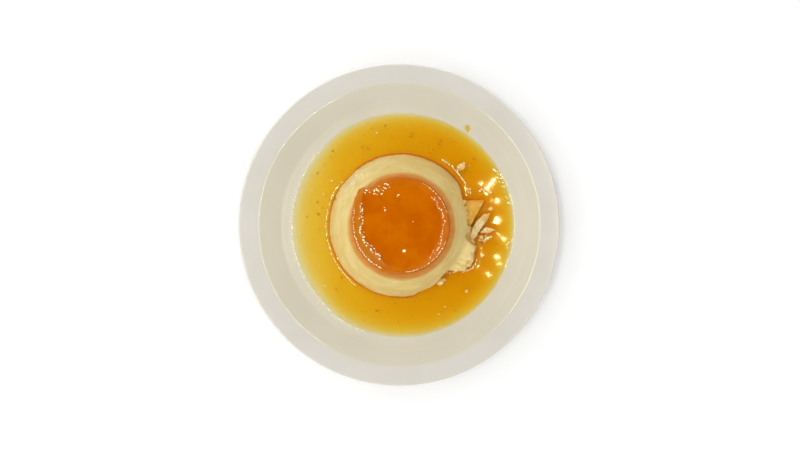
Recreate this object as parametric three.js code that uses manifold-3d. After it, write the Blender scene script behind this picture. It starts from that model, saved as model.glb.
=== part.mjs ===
// Caramel pudding turned out into a shallow porcelain dish, with sauce round it.
// Millimetres, +Z up. The origin is the middle of the foot ring, on the table.

import * as THREE from 'three';
import Module from 'manifold-3d';
import { mergeVertices } from 'three/addons/utils/BufferGeometryUtils.js';

// ---- Driving dimensions ----------------------------------------------------

const turn = 2 * Math.PI;
const gap = 0.3; // left between a piece and what it is cut round
const mergeWithin = 1e-4; // corners this close are one

// Dish
const dishRadius = 85;
const rimHeight = 16.6; // top of the rim band
const rimBand = 10.2; // width of the nearly flat band at the rim
const rimDrop = 1.2; // fall of that band from the rim to its inner edge
const rimEdgeRadius = 1.3;
const rimEdgeSteps = 2;
const rimSide = 0.65; // upright stretch of the rim's outer side, under its rounded edge
const rimUnderTurn = 0.8; // how far the underside turns up at the rim
const bandEdge = 0.6; // half width of the eased edge inside the band
const shoulderHeight = 9.8; // where the shoulder meets the well
const wellRadius = 62;
const wellFloorRadius = 42;
const floorHeight = 8;
const wellCurve = 3.2; // how late the well's wall turns up
const wellUnderTurn = 8; // the underside starts to rise this far inside the well's edge
const wellUnderRise = 0.6;
const wallThickness = 4;
const footOuterRadius = 45;
const footInnerRadius = 39.5;
const footRecess = 3.6; // depth of the hollow inside the foot ring
const footTaper = 1.4; // slant of the ring's inner face
const footChamfer = 0.9;
const footFlare = 0.7; // slant of the ring's outer face
const dishSegments = 80;
const wellSteps = 7;

// Sauce
const sauceLevel = 9.3; // in the middle of the dish
const sauceSlope = 0.008; // thick sauce, standing a little higher towards +X

// Pudding
const baseCentre = { x: 0.95, y: -0.25 };
const topCentre = { x: 1.2, y: -0.75 };
const lineHeight = 9.3; // where baseRadius is measured, at the sauce line
const baseRadius = 38.5;
const footRadius = 40.5; // furthest that the pudding reaches on the dish's floor
const shoulderTop = 49.3; // top of the custard
const shoulderRadius = 24.2; // flat top of the custard
const shoulderRound = 3.2; // height of the rounded top edge
const neckRadius = 26.3; // flank radius under the rounded top edge
const puddingSegments = 84;
const flankSteps = 11;
const roundSteps = 4;

// The foot of the pudding has broken away on the +X side. Each entry moves the broken
// outline in or out by step, going from one angle to the next, in degrees from +X.
const brokenAtZero = -3.9;
const brokenSteps = [
  { from: 20, to: 38, step: 3.5 },
  { from: 38, to: 46, step: 0.4 },
  { from: 127, to: 130, step: -0.7 },
  { from: 143, to: 150, step: 0.7 },
  { from: 277, to: 287, step: -2.4 },
  { from: 296, to: 312, step: -2.8 },
  { from: 347, to: 356, step: 1.3 },
];

// The torn lump that still hangs on at the foot
const lump = {
  from: 312,
  to: 350.5,
  peak: 334,
  rising: 17, // degrees over which its near side rises
  falling: 7, // degrees over which its far side falls
  reach: 9.9, // how far it stands out of the broken face
  lean: 0.6, // how fast it narrows away from its peak
  top: 21,
  squareness: 2.2,
};

// Caramel on top of the custard
const caramelRadius = 23.9;
const caramelThickness = 1.5; // in the shallow hollow in the middle
const lipRise = 1; // how far the lip stands above the hollow
const lipSwellStart = 0.25; // share of the lip's swell already reached at its outer edge
const lipOverhang = 0.2; // how far the lip stands out past caramelRadius
const hollowRadius = 19.8;
const hollowShift = 0.8; // the hollow lies this far towards +X
const caramelSegments = 60;
const lipSteps = 6;

// Chunks broken off the foot, lying in the sauce. Each outline is in plan.
const chunkBevel = 0.5;
const chunks = [
  {
    name: 'broken_skin',
    outline: [[34.9, 13.2], [46.2, 13.7], [42.6, 7.6], [39.5, 1.8], [37.7, -0.9], [36, 2.5], [35.5, 8.2]],
    low: 8.3,
    high: 12.4,
    dip: 0.11, // fall of the top per mm towards +Y
    colour: 0xd99a2e,
  },
  {
    name: 'broken_strip',
    outline: [
      [37.6, -6.4], [39.3, -7.9], [41.6, -5.2], [44.6, -0.6], [48, 4], [48.5, 6.3], [45.4, 6], [40.6, 1.2],
    ],
    low: 8.3,
    high: 12.7,
    dip: 0.2,
    colour: 0xe6cf97,
  },
  {
    name: 'broken_flake',
    outline: [[43.1, -4], [46.8, -4.6], [51.4, -2.6], [46.4, -1]],
    low: 8.5,
    high: 11.9,
    dip: 0.02,
    colour: 0xe9d9a8,
  },
];

// ---- Small tools -----------------------------------------------------------

const wasm = await Module();
wasm.setup();

function smooth(from, to, value) {
  return THREE.MathUtils.smoothstep(value, from, to);
}

function toSolid(geometry) {
  const bare = geometry.clone();
  bare.deleteAttribute('normal');
  bare.deleteAttribute('uv');
  const merged = mergeVertices(bare, mergeWithin);
  return new wasm.Manifold(new wasm.Mesh({
    numProp: 3,
    vertProperties: new Float32Array(merged.attributes.position.array),
    triVerts: new Uint32Array(merged.index.array),
  }));
}

function toGeometry(solid) {
  const mesh = solid.getMesh();
  const geometry = new THREE.BufferGeometry();
  geometry.setAttribute('position', new THREE.BufferAttribute(mesh.vertProperties, 3));
  geometry.setIndex(new THREE.BufferAttribute(mesh.triVerts, 1));
  geometry.computeVertexNormals();
  return geometry;
}

// Turns a profile of [radius, height] pairs round the Z axis.
function turned(profile, segments) {
  const points = profile.map(([radius, height]) => new THREE.Vector2(radius, height));
  return new THREE.LatheGeometry(points, segments).rotateX(Math.PI / 2);
}

// Moves every vertex of a geometry by a function of its place.
function reshape(geometry, move) {
  const position = geometry.attributes.position;
  const point = new THREE.Vector3();
  for (let i = 0; i < position.count; i += 1) {
    point.fromBufferAttribute(position, i);
    move(point);
    position.setXYZ(i, point.x, point.y, point.z);
  }
  geometry.computeVertexNormals();
  return geometry;
}

function piece(name, geometry, colour, roughness) {
  const material = new THREE.MeshStandardMaterial({ color: colour, roughness, metalness: 0 });
  const mesh = new THREE.Mesh(geometry, material);
  mesh.name = name;
  return mesh;
}

// ---- Dish ------------------------------------------------------------------

// The well's inner wall, from its flat floor out to its edge, drawn in by inset.
function wellProfile(inset) {
  const profile = [];
  for (let i = 0; i <= wellSteps; i += 1) {
    const share = i / wellSteps;
    const radius = wellFloorRadius + share * (wellRadius - wellFloorRadius) - inset;
    const height = floorHeight + inset + (shoulderHeight - floorHeight) * share ** wellCurve;
    profile.push([radius, height]);
  }
  return profile;
}

function dishGeometry() {
  const bandInner = dishRadius - rimBand;
  const bandHeight = rimHeight - rimDrop;
  const rimUnder = rimHeight - wallThickness;
  const shoulderSlope = (bandHeight - shoulderHeight) / (bandInner - wellRadius);
  const underside = [
    [0, footRecess],
    [footInnerRadius - footTaper, footRecess],
    [footInnerRadius, 0],
    [footOuterRadius - footChamfer, 0],
    [footOuterRadius, footChamfer],
    [footOuterRadius + footFlare, footRecess],
    [wellRadius - wellUnderTurn, floorHeight - wallThickness + wellUnderRise],
    [wellRadius, shoulderHeight - wallThickness],
    [bandInner, rimUnder - rimDrop],
    [dishRadius - rimEdgeRadius, rimUnder + rimUnderTurn],
  ];
  const rim = [[dishRadius, rimHeight - rimEdgeRadius - rimSide]];
  for (let i = 0; i <= rimEdgeSteps; i += 1) {
    const angle = (i / rimEdgeSteps) * (turn / 4);
    const inset = rimEdgeRadius * (1 - Math.cos(angle));
    rim.push([dishRadius - inset, rimHeight - rimEdgeRadius * (1 - Math.sin(angle))]);
  }
  const band = [
    [bandInner + bandEdge, bandHeight],
    [bandInner - bandEdge, bandHeight - bandEdge * shoulderSlope],
  ];
  const well = wellProfile(0).reverse();
  return turned([...underside, ...rim, ...band, ...well, [0, floorHeight]], dishSegments);
}

// ---- Pudding ---------------------------------------------------------------

function flankRadius(height) {
  const fall = (baseRadius - neckRadius) / (shoulderTop - shoulderRound - lineHeight);
  return baseRadius - fall * (height - lineHeight);
}

function brokenRadius(degrees) {
  const moves = brokenSteps.map(({ from, to, step }) => step * smooth(from, to, degrees));
  return baseRadius + brokenAtZero + moves.reduce((sum, move) => sum + move, 0);
}

function lumpRadius(degrees, height) {
  const rise = smooth(lump.from, lump.from + lump.rising, degrees);
  const fall = 1 - smooth(lump.to - lump.falling, lump.to, degrees);
  const lean = 1 - lump.lean * Math.abs(degrees - lump.peak) / (lump.to - lump.from);
  const level = THREE.MathUtils.clamp((height - floorHeight) / (lump.top - floorHeight), 0, 1);
  const bulge = Math.sqrt(1 - level ** lump.squareness);
  return brokenRadius(degrees) + lump.reach * rise * fall * lean * bulge;
}

function outlineRadius(degrees, height) {
  const standing = Math.min(flankRadius(height), brokenRadius(degrees));
  const torn = height < lump.top ? lumpRadius(degrees, height) : 0;
  const hanging = degrees > lump.from && degrees < lump.to ? torn : 0;
  const most = height < floorHeight + gap ? footRadius : dishRadius;
  return Math.min(Math.max(standing, hanging), most);
}

function puddingProfile() {
  const flankTop = shoulderTop - shoulderRound;
  const profile = [[0, floorHeight]];
  for (let i = 0; i <= flankSteps; i += 1) {
    const height = floorHeight + (i / flankSteps) * (flankTop - floorHeight);
    profile.push([flankRadius(height), height]);
  }
  for (let i = 1; i <= roundSteps; i += 1) {
    const angle = (i / roundSteps) * (turn / 4);
    const radius = shoulderRadius + (neckRadius - shoulderRadius) * Math.cos(angle);
    profile.push([radius, flankTop + shoulderRound * Math.sin(angle)]);
  }
  profile.push([0, shoulderTop]);
  return profile;
}

// clearance grows the pudding all round, for cutting the sauce away from it.
function puddingGeometry(clearance = 0) {
  return reshape(turned(puddingProfile(), puddingSegments), (point) => {
    const angle = Math.atan2(point.y, point.x);
    const degrees = THREE.MathUtils.euclideanModulo(THREE.MathUtils.radToDeg(angle), 360);
    const radius = Math.hypot(point.x, point.y);
    const whole = flankRadius(point.z);
    const share = (outlineRadius(degrees, point.z) + clearance) / whole;
    const rise = (point.z - floorHeight) / (shoulderTop - floorHeight);
    point.x = radius * share * Math.cos(angle) + THREE.MathUtils.lerp(baseCentre.x, topCentre.x, rise);
    point.y = radius * share * Math.sin(angle) + THREE.MathUtils.lerp(baseCentre.y, topCentre.y, rise);
    if (clearance > 0 && point.z === Math.fround(floorHeight)) {
      point.z -= clearance;
    }
  });
}

// ---- Caramel on top --------------------------------------------------------

function caramelGeometry() {
  const hollow = shoulderTop + caramelThickness;
  const profile = [[0, shoulderTop], [caramelRadius, shoulderTop]];
  for (let i = 0; i <= lipSteps; i += 1) {
    const share = i / lipSteps;
    const radius = caramelRadius + lipOverhang - share * (caramelRadius - hollowRadius);
    const swell = Math.sin(Math.PI * (lipSwellStart + (1 - lipSwellStart) * share));
    profile.push([radius, hollow + lipRise * (swell - lipSwellStart * (1 - share))]);
  }
  profile.push([0, hollow]);
  return reshape(turned(profile, caramelSegments), (point) => {
    const inner = 1 - smooth(hollowRadius, caramelRadius, Math.hypot(point.x, point.y));
    point.x += topCentre.x + hollowShift * inner;
    point.y += topCentre.y;
  });
}

// ---- Chunks lying in the sauce ---------------------------------------------

function chunkGeometry(chunk, clearance = 0) {
  const outline = new THREE.Shape(chunk.outline.map(([x, y]) => new THREE.Vector2(x, y)));
  const height = chunk.high - chunk.low - 2 * chunkBevel;
  const geometry = new THREE.ExtrudeGeometry(outline, {
    depth: height + 2 * clearance,
    bevelThickness: chunkBevel,
    bevelSize: chunkBevel,
    bevelOffset: clearance - chunkBevel,
    bevelSegments: 1,
  });
  geometry.translate(0, 0, chunk.low + chunkBevel - clearance);
  return reshape(geometry, (point) => {
    const upper = smooth(chunk.low, chunk.high, point.z);
    point.z -= chunk.dip * upper * Math.max(point.y, 0);
  });
}

// ---- Sauce -----------------------------------------------------------------

function sauceGeometry() {
  const lid = new THREE.BoxGeometry(3 * dishRadius, 3 * dishRadius, sauceLevel)
    .translate(0, 0, sauceLevel / 2);
  reshape(lid, (point) => {
    point.z += sauceSlope * point.x;
  });
  const well = wellProfile(gap);
  const filling = turned([[0, well[0][1]], ...well, [0, well[wellSteps][1]]], dishSegments);
  let sauce = toSolid(filling).intersect(toSolid(lid));
  sauce = sauce.subtract(toSolid(puddingGeometry(gap)));
  for (const chunk of chunks) {
    sauce = sauce.subtract(toSolid(chunkGeometry(chunk, gap)));
  }
  return toGeometry(sauce);
}

// ---- The whole -------------------------------------------------------------

const wholePudding = new THREE.Group();
wholePudding.add(piece('dish', dishGeometry(), 0xe9e4d6, 0.2));
wholePudding.add(piece('pudding', puddingGeometry(), 0xecd08b, 0.45));
wholePudding.add(piece('caramel_top', caramelGeometry(), 0xb85a06, 0.15));
for (const chunk of chunks) {
  wholePudding.add(piece(chunk.name, chunkGeometry(chunk), chunk.colour, 0.4));
}
wholePudding.add(piece('caramel_sauce', sauceGeometry(), 0xd98f0c, 0.08));

export default wholePudding;
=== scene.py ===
import math

import bpy
import numpy as np
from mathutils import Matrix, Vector, noise


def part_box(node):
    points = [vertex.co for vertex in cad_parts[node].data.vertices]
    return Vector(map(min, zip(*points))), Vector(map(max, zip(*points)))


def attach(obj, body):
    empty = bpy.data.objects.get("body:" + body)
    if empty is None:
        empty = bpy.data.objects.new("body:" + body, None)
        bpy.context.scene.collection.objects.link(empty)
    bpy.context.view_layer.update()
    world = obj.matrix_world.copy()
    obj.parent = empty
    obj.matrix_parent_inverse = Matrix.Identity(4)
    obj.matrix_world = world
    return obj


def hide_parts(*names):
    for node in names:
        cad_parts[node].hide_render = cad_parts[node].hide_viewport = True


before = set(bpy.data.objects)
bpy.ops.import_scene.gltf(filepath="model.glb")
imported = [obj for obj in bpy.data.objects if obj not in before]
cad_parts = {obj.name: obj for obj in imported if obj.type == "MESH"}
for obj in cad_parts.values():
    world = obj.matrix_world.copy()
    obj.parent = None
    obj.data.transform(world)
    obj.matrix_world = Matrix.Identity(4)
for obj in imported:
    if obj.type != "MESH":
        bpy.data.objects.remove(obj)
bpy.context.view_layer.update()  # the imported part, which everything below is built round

mm = 0.001  # shapes are worked out in millimetres, and scaled as their mesh is made
turn = 2 * math.pi
noiseSteps = (7.3, 3.1, 5.7)  # how far the noise moves on from one seed to the next


def boxInMm(node):
    low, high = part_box(node)
    return Vector(low) / mm, Vector(high) / mm


dishHigh = boxInMm("dish")[1]
puddingLow, puddingHigh = boxInMm("pudding")
print("frame loaded:", ", ".join(sorted(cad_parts)))


def smooth(low, high, value):
    share = np.clip((value - low) / (high - low), 0, 1)
    return share * share * (3 - 2 * share)


def hump(middle, spread, value):
    return np.exp(-((value - middle) / spread) ** 2)


def angleApart(a, b):
    return (a - b + 180) % 360 - 180


def humpRound(degrees, middle, spread):
    return hump(0, spread, angleApart(degrees, middle))


def around(degrees, table):
    # eases from one (angle, value) to the next, all the way round
    value = table[0][1]
    for (start, before), (end, after) in zip(table, table[1:] + [(360, table[0][1])]):
        value = value + (after - before) * smooth(start, end, degrees % 360)
    return value


def atAngle(middle, radius, angle):
    # x and y of what lies so far from a middle, at an angle in radians
    return middle[0] + radius * np.cos(angle), middle[1] + radius * np.sin(angle)


def cloud(points, size, seed, octaves=3):
    # soft noise at each point, about -1 to 1
    shift = Vector([step * seed for step in noiseSteps])
    return np.array([noise.fractal(Vector(p) / size + shift, 1.0, 2.0, octaves) for p in points])


def flatCloud(x, y, size, seed, octaves=2):
    flat = np.stack([x.ravel(), y.ravel(), 0 * x.ravel()], axis=1)
    return cloud(flat, size, seed, octaves).reshape(x.shape)


def domes(x, y, spots):
    # low round swellings: each spot is its x, y, radius and height
    height = np.zeros_like(x)
    for spotX, spotY, radius, rise in spots:
        away = ((x - spotX) ** 2 + (y - spotY) ** 2) / radius ** 2
        height += rise * np.clip(1 - away, 0, 1) ** 2
    return height


def plug(tree, made, links):
    # each socket is linked to another node's, or set to a value
    for socket, source in links.items():
        if isinstance(source, bpy.types.NodeSocket):
            tree.links.new(source, made.inputs[socket])
        else:
            made.inputs[socket].default_value = source


def addNode(tree, kind, links=None, **settings):
    made = tree.nodes.new(kind)
    for key, value in settings.items():
        setattr(made, key, value)
    plug(tree, made, links or {})
    return made


def maths(tree, operation, first, second=0.0):
    return addNode(tree, "ShaderNodeMath", {0: first, 1: second}, operation=operation).outputs[0]


def newObject(name, data):
    made = bpy.data.objects.new(name, data)
    bpy.context.scene.collection.objects.link(made)
    return made


def newPiece(name, points, faces, links=(), material=None):
    # points in millimetres
    mesh = bpy.data.meshes.new(name)
    mesh.from_pydata((np.asarray(points, float) * mm).tolist(), links, faces)
    if material:
        mesh.materials.append(material)
    mesh.update()
    return newObject(name, mesh)


def vectorsOf(piece, name):
    flat = np.empty(len(piece.data.vertices) * 3)
    piece.data.vertices.foreach_get(name, flat)
    return flat.reshape(-1, 3)


def pointsOf(piece):
    return vectorsOf(piece, "co") / mm


def movePoints(piece, points):
    piece.data.vertices.foreach_set("co", (points * mm).ravel())
    piece.data.update()


def keepValues(piece, **values):
    # one number for each point, which node trees and materials read by name
    for name, value in values.items():
        layer = piece.data.attributes.new(name, "FLOAT", "POINT")
        layer.data.foreach_set("value", np.asarray(value, dtype=np.float32))


def plainMesh(piece):
    # turns what the modifiers make into a plain mesh
    evaluated = piece.evaluated_get(bpy.context.evaluated_depsgraph_get())
    plain = bpy.data.meshes.new_from_object(evaluated)
    piece.modifiers.clear()
    piece.data = plain
    return piece


def finishPiece(piece, slot, *nodes):
    for face in piece.data.polygons:
        face.use_smooth = True
    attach(piece, "root")
    if nodes:
        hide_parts(*nodes)
    return piece


def newTree(name, inputs):
    # inputs are whole or broken numbers by name; each tree takes a mesh and a material too
    tree = bpy.data.node_groups.new(name, "GeometryNodeTree")
    kinds = {"Geometry": "Geometry", "Material": "Material"}
    kinds.update({label: "Int" if isinstance(value, int) else "Float" for label, value in inputs.items()})
    for label, kind in kinds.items():
        socket = tree.interface.new_socket(label, in_out="INPUT", socket_type="NodeSocket" + kind)
        if label in inputs:
            socket.default_value = inputs[label]
    tree.interface.new_socket("Geometry", in_out="OUTPUT", socket_type="NodeSocketGeometry")
    return tree, addNode(tree, "NodeGroupInput").outputs


def endTree(tree, geometry, material):
    real = addNode(tree, "GeometryNodeRealizeInstances", {0: geometry})
    finish = addNode(tree, "GeometryNodeSetMaterial", {0: real.outputs[0], "Material": material})
    addNode(tree, "NodeGroupOutput", {0: finish.outputs[0]})


def runTree(piece, tree, values):
    modifier = piece.modifiers.new(tree.name, "NODES")
    modifier.node_group = tree
    for item in tree.interface.items_tree:
        if item.item_type == "SOCKET" and item.in_out == "INPUT" and item.name in values:
            modifier[item.identifier] = values[item.name]
    return plainMesh(piece)


def buildTurnTree():
    # turns the row of points that it is given round the Z axis
    tree, given = newTree("turnProfile", {"Around": 256})
    rows = addNode(tree, "GeometryNodeAttributeDomainSize", {0: given["Geometry"]}).outputs["Point Count"]
    columns = maths(tree, "ADD", given["Around"], 1.0)
    grid = addNode(tree, "GeometryNodeMeshGrid", {"Vertices X": columns, "Vertices Y": rows})
    place = addNode(tree, "GeometryNodeInputPosition").outputs[0]
    across = addNode(tree, "ShaderNodeSeparateXYZ", {0: place}).outputs
    row = maths(tree, "ADD", across["Y"], 0.5)
    row = maths(tree, "MULTIPLY", row, maths(tree, "SUBTRACT", rows, 1.0))
    sample = addNode(tree, "GeometryNodeSampleIndex", {
        "Geometry": given["Geometry"],
        "Value": place,
        "Index": maths(tree, "ROUND", row),
    }, data_type="FLOAT_VECTOR", domain="POINT")
    turned = addNode(tree, "ShaderNodeVectorRotate", {
        "Vector": sample.outputs[0],
        "Axis": (0, 0, 1),
        "Angle": maths(tree, "MULTIPLY", across["X"], turn),
    })
    moved = addNode(tree, "GeometryNodeSetPosition", {0: grid.outputs[0], "Position": turned.outputs[0]})
    joined = addNode(tree, "GeometryNodeMergeByDistance", {0: moved.outputs[0], "Distance": 1e-6})
    endTree(tree, joined.outputs[0], given["Material"])
    return tree


# of grains: height and greatest length for a width of 1, depth of the lumps in metres and lumps per metre
strewLook = {
    "Flatness": 0.5,
    "Longest": 1.8,
    "Lumpiness": 0.0003,
    "Lump Scale": 1500.0,
    "Detail": 2,
    "Seed": 8,
}
mostTilt = 0.3


def buildStrewTree():
    # sets a lumpy grain on each point that it is given, as large as the point's own size says
    tree, given = newTree("strewGrains", strewLook)

    def ofPoint(name):
        return addNode(tree, "GeometryNodeInputNamedAttribute", {"Name": name}, data_type="FLOAT").outputs[0]

    def between(low, high):
        links = {2: low, 3: high, "Seed": given["Seed"]}
        return addNode(tree, "FunctionNodeRandomValue", links, data_type="FLOAT").outputs[1]

    size = ofPoint("size")
    grains = addNode(tree, "GeometryNodeInstanceOnPoints", {
        0: given["Geometry"],
        "Instance": addNode(tree, "GeometryNodeMeshIcoSphere",
                            {"Radius": 0.5, "Subdivisions": given["Detail"]}).outputs[0],
        "Rotation": addNode(tree, "ShaderNodeCombineXYZ",
                            {0: between(0.0, mostTilt), 2: ofPoint("facing")}).outputs[0],
        "Scale": addNode(tree, "ShaderNodeCombineXYZ", {
            0: maths(tree, "MULTIPLY", size, between(1.0, given["Longest"])),
            1: size,
            2: maths(tree, "MULTIPLY", size, given["Flatness"]),
        }).outputs[0],
    })
    real = addNode(tree, "GeometryNodeRealizeInstances", {0: grains.outputs[0]})
    lumps = addNode(tree, "ShaderNodeTexNoise", {"Scale": given["Lump Scale"], "Detail": 1.0})
    middle = addNode(tree, "ShaderNodeVectorMath", {0: lumps.outputs["Color"], 1: (0.5, 0.5, 0.5)},
                     operation="SUBTRACT")
    push = addNode(tree, "ShaderNodeVectorMath", {0: middle.outputs[0], "Scale": given["Lumpiness"]},
                   operation="SCALE")
    lumpy = addNode(tree, "GeometryNodeSetPosition", {0: real.outputs[0], "Offset": push.outputs[0]})
    endTree(tree, lumpy.outputs[0], given["Material"])
    return tree


turnTree = buildTurnTree()
strewTree = buildStrewTree()


def turnedPiece(name, profile, steps, material):
    # profile is a list of (radius, height), from the axis round the outside and back to the axis
    links = [(i, i + 1) for i in range(len(profile) - 1)]
    piece = newPiece(name, [(radius, 0, height) for radius, height in profile], [], links)
    return runTree(piece, turnTree, {"Around": steps, "Material": material})


def rounded(start, corner, end, shares):
    # places along the curve that takes a corner off
    return [tuple((1 - s) ** 2 * start + 2 * s * (1 - s) * corner + s ** 2 * end) for s in shares]


def roundedProfile(corners, steps=6):
    # corners are (radius, height, rounding)
    line = []
    for i, (radius, height, rounding) in enumerate(corners):
        here = np.array((radius, height), float)
        if rounding == 0 or i in (0, len(corners) - 1):
            line.append(tuple(here))
            continue
        before = np.array(corners[i - 1][:2]) - here
        after = np.array(corners[i + 1][:2]) - here
        start = here + before * min(0.5, rounding / np.linalg.norm(before))
        end = here + after * min(0.5, rounding / np.linalg.norm(after))
        line += rounded(start, here, end, np.linspace(0, 1, steps))
    return line


print("geometry node trees built")


def newMaterial(name):
    made = bpy.data.materials.new(name)
    made.use_nodes = True
    return made, made.node_tree, made.node_tree.nodes["Principled BSDF"]


def mixColour(tree, factor, first, second):
    return addNode(tree, "ShaderNodeMix", {0: factor, 6: first, 7: second}, data_type="RGBA").outputs[2]


def noiseAt(tree, scale, detail=3.0, roughness=0.5, stretch=(1, 1, 1)):
    # scale is in waves per metre, on the object's own coordinates
    place = addNode(tree, "ShaderNodeTexCoord").outputs["Object"]
    mapping = addNode(tree, "ShaderNodeMapping", {0: place, "Scale": stretch}).outputs[0]
    links = {"Vector": mapping, "Scale": scale, "Detail": detail, "Roughness": roughness}
    return addNode(tree, "ShaderNodeTexNoise", links).outputs["Fac"]


def ramp(tree, source, low, high, toLow=0.0, toHigh=1.0):
    links = {"Value": source, "From Min": low, "From Max": high, "To Min": toLow, "To Max": toHigh}
    return addNode(tree, "ShaderNodeMapRange", links, interpolation_type="SMOOTHSTEP").outputs[0]


def attribute(tree, name):
    return addNode(tree, "ShaderNodeAttribute", attribute_name=name).outputs["Fac"]


def mottled(tree, first, second, waves, low=0.35, high=0.65):
    return mixColour(tree, ramp(tree, noiseAt(tree, *waves), low, high), first, second)


def marked(tree, colour, look, names):
    # lays the colours of some marks over another, where the values kept under their names say
    for name in names:
        colour = mixColour(tree, attribute(tree, name), colour, look[name])
    return colour


def bumps(tree, layers):
    # relief of a few layers: each is its noise or value, its depth in metres and its strength
    below = {}
    for height, depth, strength in layers:
        links = {"Strength": strength, "Distance": depth, "Height": height, **below}
        below = {"Normal": addNode(tree, "ShaderNodeBump", links).outputs[0]}
    return below["Normal"]


# in these dictionaries a noise is its waves per metre, detail, roughness and stretch
porcelain = {
    "glaze": (0.632, 0.604, 0.545, 1),
    "cloudy": (0.613, 0.585, 0.521, 1),
    "clouds": (60, 3),
    "waves": (110, 2),
    "well": (0.63, 0.594, 0.484, 1),  # a little warmer inside the rim: painted warm light bounced from the sauce
    "smear": (0.66, 0.58, 0.40, 1),  # where sauce has run and dried
    "wet": (0.66, 0.60, 0.50, 1),  # under the sauce: lighter, warmer glaze, painted light that stands for the light seen through the sauce
    "foot": (0.60, 0.57, 0.51, 1),
    "roughness": 0.14,
    "dull": 0.7,  # roughness of the bare foot, and under the sauce
    "gloss": 0.33,
}


def porcelainMaterial():
    material, tree, shader = newMaterial("ivoryGlaze")
    colour = mottled(tree, porcelain["glaze"], porcelain["cloudy"], porcelain["clouds"], 0.35, 0.7)
    dull = maths(tree, "MAXIMUM", attribute(tree, "foot"), attribute(tree, "covered"))
    plug(tree, shader, {
        "Base Color": marked(tree, colour, porcelain, ("well", "smear", "wet", "foot")),
        "Roughness": ramp(tree, dull, 0, 1, porcelain["roughness"], porcelain["dull"]),
        "Normal": bumps(tree, [(noiseAt(tree, *porcelain["waves"]), 0.0002, 0.12)]),
        "Specular IOR Level": porcelain["gloss"],
    })
    return material


custardLook = {
    "cream": (0.66, 0.50, 0.185, 1),
    "pale": (0.71, 0.57, 0.245, 1),
    "clouds": (110, 4),
    "scraped": (0.80, 0.69, 0.40, 1),  # where the skin has come away
    "torn": (0.89, 0.70, 0.31, 1),
    "stain": (0.52, 0.165, 0.004, 1),  # caramel that has soaked in
    # pitShade: darker inside pits and the lump's grooves, painted shade
    "pitShade": (0.50, 0.34, 0.02, 1),
    "streak": (0.57, 0.40, 0.12, 1),
    "streaks": (90, 4, 0.6, (1, 1, 9)),
    "streakShare": 0.75,
    "grain": (1400, 4, 0.6),
    "swirls": (420, 3, 0.5, (1, 1, 0.6)),
    "lines": (300, 3, 0.6, (1, 1, 7)),
    "shader": {
        "Roughness": 0.42,
        "Specular IOR Level": 0.15,
        "Subsurface Weight": 0.3,
        "Subsurface Radius": (0.004, 0.0025, 0.001),
        "Subsurface Scale": 1.0,
        "Coat Weight": 0.08,
        "Coat Roughness": 0.2,
    },
}


def custardMaterial():
    material, tree, shader = newMaterial("setCustard")
    colour = mottled(tree, custardLook["cream"], custardLook["pale"], custardLook["clouds"], 0.4)
    streaks = ramp(tree, noiseAt(tree, *custardLook["streaks"]), 0.55, 0.75)
    streaks = maths(tree, "MULTIPLY", streaks, custardLook["streakShare"])
    colour = mixColour(tree, streaks, colour, custardLook["streak"])
    swirls = maths(tree, "MULTIPLY", noiseAt(tree, *custardLook["swirls"]), attribute(tree, "scraped"))
    plug(tree, shader, {
        "Base Color": marked(tree, colour, custardLook, ("scraped", "torn", "pitShade", "stain")),
        "Normal": bumps(tree, [
            (noiseAt(tree, *custardLook["grain"]), 0.0002, 0.35),
            (swirls, 0.0014, 1.0),
            (noiseAt(tree, *custardLook["lines"]), 0.0004, 0.6),
        ]),
        **custardLook["shader"],
    })
    return material


caramelLook = {
    "deep": (0.47, 0.093, 0.0, 1),
    "amber": (0.53, 0.125, 0.0, 1),
    "clouds": (90, 3),
    "blotch": (0.57, 0.06, 0.0, 1),
    "blotches": (230, 2),
    "blotchShare": 0.5,
    "lip": (0.50, 0.15, 0.006, 1),
    "edge": (0.48, 0.11, 0.003, 1),
    "swell": (300, 2),
    "beads": (950, 2),
    "shader": {
        "Roughness": 0.35,
        "Specular IOR Level": 0.0,
        "Coat Weight": 0.5,
        "Coat Roughness": 0.035,
        "Coat IOR": 1.45,
    },
}


def caramelMaterial():
    material, tree, shader = newMaterial("wetCaramel")
    colour = mottled(tree, caramelLook["deep"], caramelLook["amber"], caramelLook["clouds"])
    blotches = ramp(tree, noiseAt(tree, *caramelLook["blotches"]), 0.68, 0.78)
    blotches = maths(tree, "MULTIPLY", blotches, caramelLook["blotchShare"])
    colour = mixColour(tree, blotches, colour, caramelLook["blotch"])
    beads = maths(tree, "MULTIPLY", noiseAt(tree, *caramelLook["beads"]), attribute(tree, "beaded"))
    plug(tree, shader, {
        "Base Color": marked(tree, colour, caramelLook, ("lip", "edge")),
        "Coat Normal": bumps(tree, [
            (noiseAt(tree, *caramelLook["swell"]), 0.0001, 0.04),
            (beads, 0.00012, 1.0),
        ]),
        **caramelLook["shader"],
    })
    return material


sauceLook = {
    "tint": (0.998, 0.875, 0.0, 1),  # what is left of red, green and blue as light goes through
    "thickness": 1500.0,  # how fast the sauce takes up light, per metre
    "left": (1.0, 1.0, 1.0, 1),
    "right": (1.0, 0.87, 0.45, 1),  # more caramel has gathered where it is deep
    "shader": {"Roughness": 0.035, "IOR": 1.4, "Transmission Weight": 1.0},
}


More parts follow.
